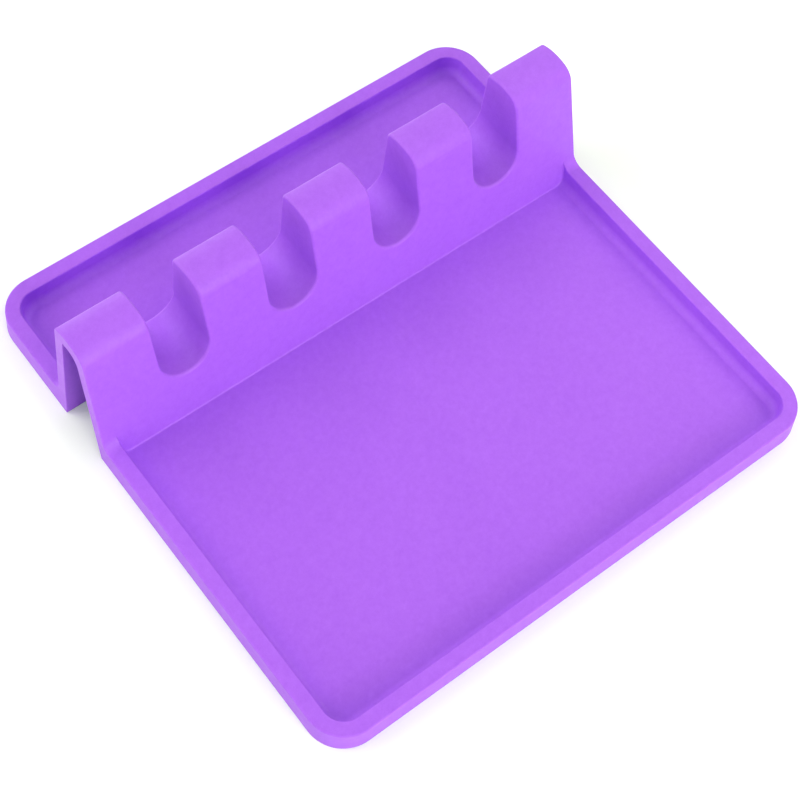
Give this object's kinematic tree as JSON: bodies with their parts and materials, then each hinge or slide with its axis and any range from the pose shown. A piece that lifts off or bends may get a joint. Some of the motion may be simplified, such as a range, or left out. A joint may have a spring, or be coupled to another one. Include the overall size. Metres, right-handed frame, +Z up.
{
  "type": "spoon rest",
  "caption": "Silicone spoon rest: a drip tray on each side of a hollow folded ridge whose U-shaped notches hold the handles of cooking utensils.",
  "frame": {"origin": "middle of the moulding's bounding box, on the table that its undersides rest on", "axes": "+X to the right along the ridge, +Y from the front tray over the ridge to the back tray, +Z up"},
  "size_m": [0.196, 0.1924, 0.0523],
  "materials": {
    "silicone": "satin moulded silicone, purple"
  },
  "bodies": {
    "root": {"silicone_moulding": "silicone"}
  },
  "joints": []
}
